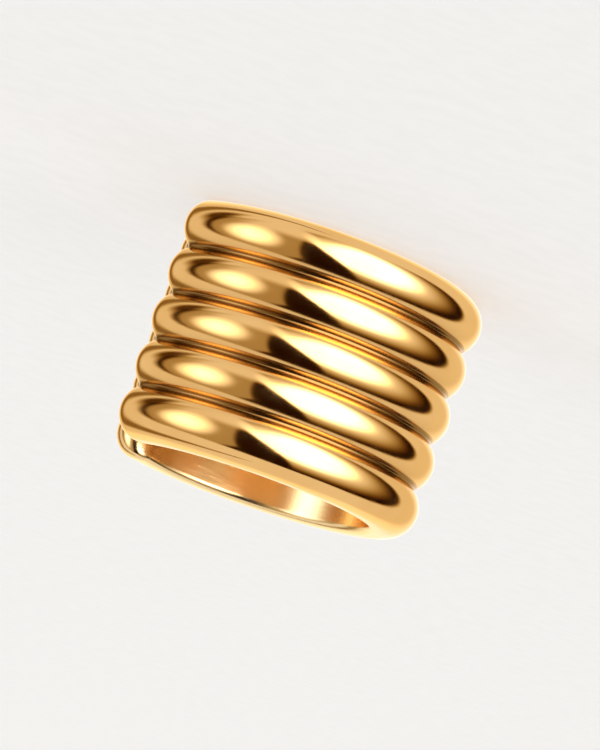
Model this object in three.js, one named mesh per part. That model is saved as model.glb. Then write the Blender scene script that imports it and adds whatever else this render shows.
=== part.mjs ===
// An ear cuff: an open band of five round ribs, in one piece of polished gold-coloured metal.
// It slips over the outer rim of the ear and grips it, and has no moving part.
//
// Millimetres. +Z is the band's axis, and the cuff rests at z = 0 on the flat side of its first rib.
// The opening faces +X, the arm that shows on the front of the ear is at -Y, and the arm behind the
// ear is at +Y. The origin is under the middle of the bounding box.
import * as THREE from "three";

// Ribs: round faces at an even pitch, which meet in small fillets.
const ribCount = 5;
const ribPitch = 1.75;
const ribRadius = 1.0;
const filletRadius = 0.12;

// Band: smooth inside, with its inner edges rounded over.
const outerDiameter = 12.1; // over the crests of the ribs
const innerDiameter = 9.0;
const innerEdgeRadius = 0.25;

// Each arm ends in a rounded tip. Its centre is this far round from the middle of the band.
const tipAngle = THREE.MathUtils.degToRad(147);

// Facets
const arcSteps = 34; // along the band, tip to tip
const tipSteps = 6; // round a tip
const faceSteps = 4; // across the round face of a rib
const edgeSteps = 3; // over the outer edge of the first and last rib

const crestRadius = outerDiameter / 2;
const innerRadius = innerDiameter / 2;
const ribCentreRadius = crestRadius - ribRadius;
const bandHeight = (ribCount - 1) * ribPitch + 2 * ribRadius;
// The angle on a rib's round face at which the fillet to the next rib begins.
const filletAngle = Math.asin(ribPitch / 2 / (ribRadius + filletRadius));
const grooveRadius =
  ribCentreRadius + (ribRadius + filletRadius) * Math.cos(filletAngle) - filletRadius;

// The radius of the inside at height z: straight, and rounded over at both edges.
function insideAt(z) {
  const fromEdge = Math.min(z, bandHeight - z);
  const past = Math.max(0, innerEdgeRadius - fromEdge);
  return innerRadius + innerEdgeRadius - Math.sqrt(innerEdgeRadius ** 2 - past ** 2);
}

// The band's levels from its first side to its last: a height, and the outer radius there.
function bandLevels() {
  const levels = [];
  for (let rib = 0; rib < ribCount; rib++) {
    const centreZ = ribRadius + rib * ribPitch;
    const angles = [];
    if (rib === 0)
      for (let i = 0; i < edgeSteps; i++)
        angles.push(THREE.MathUtils.lerp(-Math.PI / 2, -filletAngle, i / edgeSteps));
    for (let i = 0; i <= faceSteps; i++)
      angles.push(THREE.MathUtils.lerp(-filletAngle, filletAngle, i / faceSteps));
    if (rib === ribCount - 1)
      for (let i = 1; i <= edgeSteps; i++)
        angles.push(THREE.MathUtils.lerp(filletAngle, Math.PI / 2, i / edgeSteps));
    for (const angle of angles)
      levels.push({
        z: centreZ + ribRadius * Math.sin(angle),
        outer: ribCentreRadius + ribRadius * Math.cos(angle),
      });
    if (rib < ribCount - 1)
      levels.push({ z: centreZ + ribPitch / 2, outer: grooveRadius });
  }
  return levels;
}

// The closed C-shaped outline at one level: outside arc, front tip, inside arc, back tip.
function outlineAt({ z, outer }) {
  const inner = insideAt(z);
  const middle = (outer + inner) / 2;
  const half = (outer - inner) / 2;
  const from = Math.PI - tipAngle;
  const to = Math.PI + tipAngle;
  const arc = (x, y, radius, start, end, clockwise, steps) =>
    new THREE.EllipseCurve(x, y, radius, radius, start, end, clockwise)
      .getPoints(steps)
      .slice(0, -1);
  return [
    ...arc(0, 0, outer, from, to, false, arcSteps),
    ...arc(middle * Math.cos(to), middle * Math.sin(to), half, to, to + Math.PI, false, tipSteps),
    ...arc(0, 0, inner, to, from, true, arcSteps),
    ...arc(middle * Math.cos(from), middle * Math.sin(from), half, from - Math.PI, from, false, tipSteps),
  ];
}

// Joins the outlines of all levels into one closed surface, with a flat face at each side.
function loft(levels) {
  const outlines = levels.map(outlineAt);
  const around = outlines[0].length;
  const positions = outlines.flatMap((points, row) =>
    points.flatMap((p) => [p.x, p.y, levels[row].z]),
  );
  const indices = [];
  for (let row = 0; row + 1 < levels.length; row++)
    for (let i = 0; i < around; i++) {
      const next = (i + 1) % around;
      const a = row * around + i;
      const b = row * around + next;
      indices.push(a, b, b + around, a, b + around, a + around);
    }
  const last = (levels.length - 1) * around;
  for (const [a, b, c] of THREE.ShapeUtils.triangulateShape(outlines[0], []))
    indices.push(a, c, b);
  for (const [a, b, c] of THREE.ShapeUtils.triangulateShape(outlines.at(-1), []))
    indices.push(last + a, last + b, last + c);
  return new THREE.BufferGeometry()
    .setAttribute("position", new THREE.Float32BufferAttribute(positions, 3))
    .setIndex(indices);
}

function ribbedBand() {
  const geometry = loft(bandLevels());
  geometry.computeBoundingBox();
  const { min, max } = geometry.boundingBox;
  geometry.translate(-(min.x + max.x) / 2, 0, 0);
  geometry.computeVertexNormals();
  const gold = new THREE.MeshStandardMaterial({
    color: 0xe6b876,
    metalness: 1,
    roughness: 0.12,
  });
  const band = new THREE.Mesh(geometry, gold);
  band.name = "ribbed_band";
  return band;
}

const earCuff = new THREE.Group();
earCuff.add(ribbedBand());

export default earCuff;
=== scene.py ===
# An ear cuff: an open band of five round ribs in polished yellow gold, lying on its side on a pale
# studio floor. Metres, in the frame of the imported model: +Z is the band's axis, the opening between
# the tips faces +X, and the arm worn on the front of the ear is at -Y.
import math

import bmesh
import bpy
from mathutils import Matrix, Vector


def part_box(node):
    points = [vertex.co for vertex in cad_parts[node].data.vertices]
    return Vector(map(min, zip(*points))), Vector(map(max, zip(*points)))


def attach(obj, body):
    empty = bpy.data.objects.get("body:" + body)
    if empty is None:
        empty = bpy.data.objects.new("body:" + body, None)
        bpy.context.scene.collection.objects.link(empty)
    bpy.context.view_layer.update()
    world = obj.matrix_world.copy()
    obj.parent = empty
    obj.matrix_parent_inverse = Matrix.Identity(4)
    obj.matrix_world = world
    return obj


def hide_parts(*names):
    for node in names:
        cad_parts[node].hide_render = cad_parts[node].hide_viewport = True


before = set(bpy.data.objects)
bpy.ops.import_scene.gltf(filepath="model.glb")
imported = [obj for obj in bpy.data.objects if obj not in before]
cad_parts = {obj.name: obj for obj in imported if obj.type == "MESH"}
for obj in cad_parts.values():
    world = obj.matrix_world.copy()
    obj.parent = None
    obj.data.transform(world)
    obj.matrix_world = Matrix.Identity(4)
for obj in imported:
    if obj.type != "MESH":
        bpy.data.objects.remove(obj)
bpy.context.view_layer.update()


# --- The band -------------------------------------------------------------------------------------
# One piece of metal, cast and then plated: five round ribs side by side, which meet in narrow
# grooves, on a band that is smooth inside. Its side edges are flat lands and the ribs run round the
# blunt tips of both arms. It is closed by hand a little to grip the ear, so nothing on it moves.
MM = 0.001
RIBS = 5
RIB_RADIUS = 1.0 * MM
GROOVE_FILLET = 0.12 * MM
CREST_RADIUS = 6.05 * MM
INNER_RADIUS = 4.5 * MM
INNER_EDGE = 0.25 * MM
ARM_REACH = math.radians(147)  # from the middle of the band to the centre of each tip

low, high = (Vector(corner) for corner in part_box("ribbed_band"))
band_height = high.z - low.z
rib_pitch = (band_height - 2 * RIB_RADIUS) / (RIBS - 1)
axis_x = low.x + CREST_RADIUS
rib_centre_radius = CREST_RADIUS - RIB_RADIUS
fillet_start = math.asin(rib_pitch / 2 / (RIB_RADIUS + GROOVE_FILLET))


def lerp(a, b, t):
    return a + (b - a) * t


def inside_radius(z):
    """The band's inner radius at height z: straight, and rounded over at both edges."""
    past = max(0.0, INNER_EDGE - min(z, band_height - z))
    return INNER_RADIUS + INNER_EDGE - math.sqrt(INNER_EDGE**2 - past**2)


def rib_levels(face_steps=22, fillet_steps=5, edge_steps=12):
    """Heights up the band, each as (z, outer radius, how deep in a groove from 0 to 1)."""
    levels = []
    for rib in range(RIBS):
        centre_z = RIB_RADIUS + rib * rib_pitch
        angles = [lerp(-fillet_start, fillet_start, i / face_steps) for i in range(face_steps + 1)]
        if rib == 0:
            over_edge = [lerp(-math.pi / 2, -fillet_start, i / edge_steps) for i in range(edge_steps)]
            angles = over_edge + angles
        if rib == RIBS - 1:
            angles += [lerp(fillet_start, math.pi / 2, (i + 1) / edge_steps) for i in range(edge_steps)]
        for angle in angles:
            z = centre_z + RIB_RADIUS * math.sin(angle)
            on_free_side = (rib == 0 and angle < 0) or (rib == RIBS - 1 and angle > 0)
            towards_groove = min(1.0, abs(math.sin(angle)) / math.sin(fillet_start))
            depth = 0.0 if on_free_side else towards_groove**4  # the crests stay clear of it
            levels.append((z, rib_centre_radius + RIB_RADIUS * math.cos(angle), depth))
        if rib < RIBS - 1:
            groove_z = centre_z + rib_pitch / 2
            fillet_radius = rib_centre_radius + (RIB_RADIUS + GROOVE_FILLET) * math.cos(fillet_start)
            for i in range(1, fillet_steps):
                angle = lerp(-1, 1, i / fillet_steps) * fillet_start
                z = groove_z + GROOVE_FILLET * math.sin(angle)
                levels.append((z, fillet_radius - GROOVE_FILLET * math.cos(angle), 1.0))
    return levels


def band_outline(outer, inner, arc_steps, tip_steps):
    """The C at one height, from the back tip's outer corner, as (x, y, inside) with inside 0 to 1."""
    middle, half = (outer + inner) / 2, (outer - inner) / 2
    start, end = math.pi - ARM_REACH, math.pi + ARM_REACH
    points = []
    for i in range(arc_steps):
        a = lerp(start, end, i / arc_steps)
        points.append((outer * math.cos(a), outer * math.sin(a), 0.0))
    for i in range(tip_steps):
        a = end + math.pi * i / tip_steps
        x = middle * math.cos(end) + half * math.cos(a)
        y = middle * math.sin(end) + half * math.sin(a)
        points.append((x, y, i / tip_steps))
    for i in range(arc_steps):
        a = lerp(end, start, i / arc_steps)
        points.append((inner * math.cos(a), inner * math.sin(a), 1.0))
    for i in range(tip_steps):
        a = start + math.pi + math.pi * i / tip_steps
        x = middle * math.cos(start) + half * math.cos(a)
        y = middle * math.sin(start) + half * math.sin(a)
        points.append((x, y, 1 - i / tip_steps))
    return points


def make_band(name, arc_steps=230, tip_steps=20):
    """The band, with how far each point is in a groove and on the inside kept for its finish and for
    the painted shade in its grooves.
    """
    mesh = bmesh.new()
    in_groove = mesh.verts.layers.float.new("in_groove")
    inside = mesh.verts.layers.float.new("inside")
    rows = []
    for z, outer, depth in rib_levels():
        row = []
        for x, y, within in band_outline(outer, inside_radius(z), arc_steps, tip_steps):
            vert = mesh.verts.new((axis_x + x, y, z))
            vert[in_groove] = depth * (1 - within)
            vert[inside] = within
            row.append(vert)
        rows.append(row)
    around = len(rows[0])
    for lower, upper in zip(rows, rows[1:]):
        for i in range(around):
            j = (i + 1) % around
            mesh.faces.new((lower[i], lower[j], upper[j], upper[i]))
    # The flat land on each side: strips between each outer point and its mate on the inner arc.
    for row, upwards in ((rows[0], False), (rows[-1], True)):
        for i in range(-tip_steps // 2, arc_steps + tip_steps // 2):
            mate = 2 * arc_steps + tip_steps - i
            corners = [row[k % around] for k in (i, i + 1, mate - 1, mate)]
            corners = list(dict.fromkeys(corners))  # the strip starts and ends in a triangle
            mesh.faces.new(corners if upwards else corners[::-1])
    for face in mesh.faces:
        face.smooth = True
    data = bpy.data.meshes.new(name)
    mesh.to_mesh(data)
    mesh.free()
    band = bpy.data.objects.new(name, data)
    bpy.context.scene.collection.objects.link(band)
    return band


class Wire:
    """A node socket that Python expressions can use: each operator adds a Math node."""

    def __init__(self, shader, socket):
        self.shader, self.socket = shader, socket

    def math(self, operation, *others):
        return self.shader.math(operation, self, *others)

    def __add__(self, other):
        return self.math("ADD", other)

    def __radd__(self, other):
        return self.math("ADD", other)

    def __sub__(self, other):
        return self.math("SUBTRACT", other)

    def __rsub__(self, other):
        return self.shader.math("SUBTRACT", other, self)

    def __mul__(self, other):
        return self.math("MULTIPLY", other)

    def __rmul__(self, other):
        return self.math("MULTIPLY", other)

    def __truediv__(self, other):
        return self.math("DIVIDE", other)

    def __pow__(self, other):
        return self.math("POWER", other)

    def __abs__(self):
        return self.math("ABSOLUTE")

    def clamp(self):
        return self.math("MAXIMUM", 0.0).math("MINIMUM", 1.0)

    def ease(self, start, end):
        """0 at start, 1 at end and smooth between."""
        t = ((self - start) / (end - start)).clamp()
        return t * t * (3 - 2 * t)


class Shader:
    """The node tree of one material, or of the studio's surroundings."""

    def __init__(self, owner):
        owner.use_nodes = True
        self.tree = owner.node_tree
        self.tree.nodes.clear()

    def add(self, kind, settings=(), output=0, **inputs):
        """One node: its settings first, then its sockets, by name with _ for a space or by number.
        Gives back one output, by name or by number."""
        node = self.tree.nodes.new(kind)
        for key, value in dict(settings).items():
            setattr(node, key, value)
        for key, value in inputs.items():
            slot = node.inputs[int(key[1:]) if key.startswith("_") else key.replace("_", " ")]
            if isinstance(value, Wire):
                self.tree.links.new(value.socket, slot)
            else:
                slot.default_value = value
        return None if output is None else Wire(self, node.outputs[output])

    def math(self, operation, *values):
        slots = {f"_{i}": value for i, value in enumerate(values)}
        return self.add("ShaderNodeMath", {"operation": operation}, **slots)

    def mix(self, factor, a, b):
        """Two colours, mixed."""
        return self.add("ShaderNodeMix", {"data_type": "RGBA"}, 2, _0=factor, _6=a, _7=b)


def polished_gold():
    yellow_gold = (0.82, 0.495, 0.19, 1.0)
    rich_gold = (0.78, 0.45, 0.155, 1.0)
    # The next two colours are painted shade for the grooves.
    painted_groove_shade = (0.56, 0.33, 0.12, 1.0)
    painted_groove_dark = (0.17, 0.075, 0.018, 1.0)
    inside_gold = (0.9, 0.72, 0.42, 1.0)
    grazing_gold = (1.0, 0.82, 0.58, 1.0)
    material = bpy.data.materials.new("polished_gold")
    shader = Shader(material)
    place = shader.add("ShaderNodeTexCoord", output="Object")
    groove = shader.add("ShaderNodeAttribute", {"attribute_name": "in_groove"}, "Fac")
    inside = shader.add("ShaderNodeAttribute", {"attribute_name": "inside"}, "Fac")
    # Thin and thick places in the plating, a few millimetres across, and then painted shade in the
    # grooves:
    # darker, duller gold down their sides and near black at the bottom.
    cloud = shader.add("ShaderNodeTexNoise", Vector=place, Scale=350.0, Detail=3.0)
    surface = shader.mix(cloud.ease(0.3, 0.7), yellow_gold, rich_gold)
    surface = shader.mix(groove * 0.65, surface, painted_groove_shade)
    surface = shader.mix(groove.ease(0.74, 1.0) * 0.85, surface, painted_groove_dark)
    # Painted light: the inner wall is painted a paler gold to tone down the deep orange of gold
    # reflected in gold.
    surface = shader.mix(inside * 0.6, surface, inside_gold)
    # Hairlines from the polishing wheel run round the band: noise stretched along it.
    stretch = (700.0, 700.0, 30000.0)
    drawn_out = shader.add("ShaderNodeVectorMath", {"operation": "MULTIPLY"}, _0=place, _1=stretch)
    hairlines = shader.add("ShaderNodeTexNoise", Vector=drawn_out, Scale=1.0, Detail=2.0)
    # Under a millimetre across: the haze that fingers leave.
    haze = shader.add("ShaderNodeTexNoise", Vector=place, Scale=1400.0, Detail=4.0)
    mirror_polish = 0.07
    hazed = 0.04 * haze.ease(0.4, 0.7)
    dull_groove = 0.1 * groove
    satin_inside = 0.12 * inside
    scratched = 0.04 * hairlines
    # A cast and polished face is never quite true: its reflections waver a little.
    waviness = shader.add("ShaderNodeTexNoise", Vector=place, Scale=500.0, Detail=1.0)
    height = waviness * 0.5 + hairlines * (0.12 + 0.6 * inside)
    normal = shader.add("ShaderNodeBump", Strength=0.25, Distance=0.02 * MM, Height=height)
    metal = shader.add(
        "ShaderNodeBsdfPrincipled",
        Base_Color=surface,
        Roughness=mirror_polish + hazed + dull_groove + satin_inside + scratched,
        Metallic=1.0,
        Specular_Tint=grazing_gold,
        Normal=normal,
    )
    shader.add("ShaderNodeOutputMaterial", output=None, Surface=metal)
    return material


band = make_band("ribbed_gold_band")
band.data.materials.append(polished_gold())
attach(band, "root")
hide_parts("ribbed_band")


# --- The floor ------------------------------------------------------------------------------------
# A sheet of frosted white acrylic that the cuff lies on, with a soft light under it. It runs out
# flat and then curves up all round. Mirror reflections go through it to the lamps, and all other
# light meets it as a solid.
FLOOR_RADIUS = 0.42
RISE_RADIUS = 0.10


def make_floor(name, turns=96, rise_steps=12):
    mesh = bmesh.new()
    centre = mesh.verts.new((0, 0, 0))
    profile = [(FLOOR_RADIUS * share, 0.0) for share in (0.1, 0.4, 1.0)]
    for i in range(1, rise_steps + 1):
        a = math.pi / 2 * i / rise_steps
        profile.append((FLOOR_RADIUS + RISE_RADIUS * math.sin(a), RISE_RADIUS * (1 - math.cos(a))))
    angles = [2 * math.pi * k / turns for k in range(turns)]
    rings = []
    for radius, z in profile:
        rings.append([mesh.verts.new((radius * math.cos(a), radius * math.sin(a), z)) for a in angles])
    for k in range(turns):
        following = (k + 1) % turns
        mesh.faces.new((centre, rings[0][k], rings[0][following]))
        for inner, outer in zip(rings, rings[1:]):
            mesh.faces.new((inner[k], outer[k], outer[following], inner[following]))
    for face in mesh.faces:
        face.smooth = True
    data = bpy.data.meshes.new(name)
    mesh.to_mesh(data)
    mesh.free()
    floor = bpy.data.objects.new(name, data)
    bpy.context.scene.collection.objects.link(floor)
    return floor


def frosted_acrylic():
    shaded_acrylic = (0.40, 0.398, 0.394, 1.0)
    clean_acrylic = (0.42, 0.418, 0.415, 1.0)
    light_below = (1.0, 0.995, 0.985, 1.0)
    material = bpy.data.materials.new("frosted_acrylic")
    shader = Shader(material)
    place = shader.add("ShaderNodeTexCoord", output="Object")
    grain = shader.add("ShaderNodeTexNoise", Vector=place, Scale=900.0, Detail=3.0)
    acrylic = shader.add(
        "ShaderNodeBsdfPrincipled",
        Base_Color=shader.mix(grain.ease(0.3, 0.7), shaded_acrylic, clean_acrylic),
        Roughness=0.9,
        Specular_IOR_Level=0.1,
        Emission_Color=light_below,
        Emission_Strength=0.51,
    )
    clear = shader.add("ShaderNodeBsdfTransparent")
    glossy_ray = shader.add("ShaderNodeLightPath", output="Is Glossy Ray")
    soft_bounces = shader.add("ShaderNodeLightPath", output="Diffuse Depth")
    mirrored = glossy_ray * (1 - soft_bounces).clamp()
    surface = shader.add("ShaderNodeMixShader", _0=mirrored, _1=acrylic, _2=clear)
    shader.add("ShaderNodeOutputMaterial", output=None, Surface=surface)
    return material


floor = make_floor("acrylic_floor")
floor.data.materials.append(frosted_acrylic())
floor.visible_shadow = False


# --- The studio -----------------------------------------------------------------------------------
# A white light tent round the cuff. Its front is a dark window that holds two soft lamps, a narrow
# one and a broad one, so each rib shows two long highlights with a dark wedge between them.
BROAD_LAMP, BROAD_FRINGE = 4.0, 1.3
NARROW_LAMP, NARROW_SURROUND = 3.0, 0.5
LOW_SURROUND = 0.5
WINDOW_DARK = 0.02
BACK_PANEL = 0.45  # how much brighter than the tent's cloth, which is 1
SEAM_SHADE = 0.7
CORNER_SHADE = 0.9
GREEN_LOSS, BLUE_LOSS = 0.35, 1.2  # how fast dim light turns warm


def light_tent():
    world = bpy.data.worlds.new("light_tent")
    bpy.context.scene.world = world
    shader = Shader(world)
    way = shader.add("ShaderNodeTexCoord", output="Generated")
    x, y, z = (shader.add("ShaderNodeSeparateXYZ", output=axis, Vector=way) for axis in "XYZ")
    # Degrees round from the front, which is -Y, towards -X, and degrees above the floor.
    degree = 180 / math.pi
    side = (x * -1).math("ARCTAN2", y * -1) * degree
    rise = z.math("ARCSINE") * degree

    def oval(side_at, rise_at, half_width, half_height, full, none):
        """1 in the middle of an oval of directions, falling to 0 between two shares of its size."""
        across, up = (side - side_at) / half_width, (rise - rise_at) / half_height
        return 1 - (across * across + up * up).math("SQRT").ease(full, none)

    # The broad lamp: a bright middle and a long fall-off, cut off along a slanted line, which
    # leans from upright by the slant. past_slant is how many degrees a way lies beyond that line.
    slant = math.radians(29.3)
    past_slant = (side + 17) * math.cos(slant) - (rise + 30) * math.sin(slant)
    middle = oval(side_at=31, rise_at=-20, half_width=42, half_height=46, full=0.6, none=1.15)
    fringe = oval(side_at=31, rise_at=-15, half_width=82, half_height=76, full=0.4, none=1.0)
    broad = (middle * BROAD_LAMP + fringe * BROAD_FRINGE) * past_slant.ease(-2, 5)
    # The narrow lamp, in a dull gold surround with a dark lower corner.
    lamp = oval(side_at=-56, rise_at=3, half_width=24, half_height=36, full=0.1, none=1.15)
    surround = oval(side_at=-45, rise_at=-6, half_width=48, half_height=66, full=0.88, none=1.0)
    narrow = lamp * NARROW_LAMP + surround * NARROW_SURROUND
    dark_corner = oval(side_at=-97, rise_at=-32, half_width=15, half_height=28, full=0.3, none=1.0)
    # Between them nothing is lit. Low down, the surround goes on as far as the broad lamp.
    unlit = side.ease(-22, -18) * (1 - past_slant.ease(-2, 5)) * rise.ease(-32, -16)
    low_surround = (1 - rise.ease(-40, -15)) * (1 - side.ease(60, 100)) * side.ease(-85, -60)
    in_window = WINDOW_DARK + (broad + narrow + low_surround * LOW_SURROUND) * (1 - unlit)
    # Round the window is the tent. Behind the cuff it has a brighter panel, and on the side of the
    # narrow lamp a dark upright seam.
    window = oval(side_at=11, rise_at=-5, half_width=109, half_height=70, full=0.96, none=1.03)
    back_panel = abs(side).ease(146, 162) * (1 - abs(rise).ease(35, 60))
    seam_at, seam_half_width = -126, 14
    seam = 1 - abs((side - seam_at) / seam_half_width).ease(0.3, 1.0)
    tent = (1 + back_panel * BACK_PANEL) * (1 - seam * SEAM_SHADE)
    level = (in_window * window + (1 - window) * tent) * (1 - dark_corner * CORNER_SHADE)
    # Dim light in the tent is warm: it comes off the gold itself and off the warm dark surround.
    dim = level.math("MINIMUM", 1.0)
    colour = shader.add(
        "ShaderNodeCombineColor",
        Red=level,
        Green=level * dim**GREEN_LOSS,
        Blue=level * dim**BLUE_LOSS,
    )
    glow = shader.add("ShaderNodeBackground", Color=colour, Strength=1.0)
    shader.add("ShaderNodeOutputWorld", output=None, Surface=glow)


light_tent()


# --- The camera -----------------------------------------------------------------------------------
# A long lens a little above the floor, turned right over, so that the band leans as it does on an
# ear.
CAMERA_RISE = math.radians(8.35)
CAMERA_LEAN = math.radians(180 + 19.2)
LENS_LENGTH = 250  # the lens's own unit, millimetres
FRAME_WIDTH = 21.5 * MM  # how much the picture takes in at the cuff
IMAGE_SHARE = 600 / 750  # the frame's width over its height, which the sensor's width is fitted to

lens = bpy.data.cameras.new("studio_camera")
lens.lens = LENS_LENGTH
lens.clip_start, lens.clip_end = 0.01, 2.0
camera = bpy.data.objects.new("studio_camera", lens)
bpy.context.scene.collection.objects.link(camera)
bpy.context.scene.camera = camera
distance = FRAME_WIDTH * LENS_LENGTH / (lens.sensor_width * IMAGE_SHARE)
target = Vector((0, 0, band_height / 2))
back = Vector((0, -math.cos(CAMERA_RISE), math.sin(CAMERA_RISE)))
camera.matrix_world = (
    Matrix.Translation(target + back * distance)
    @ back.to_track_quat("Z", "Y").to_matrix().to_4x4()
    @ Matrix.Rotation(CAMERA_LEAN, 4, "Z")
)
bpy.context.scene.view_settings.view_transform = "Standard"
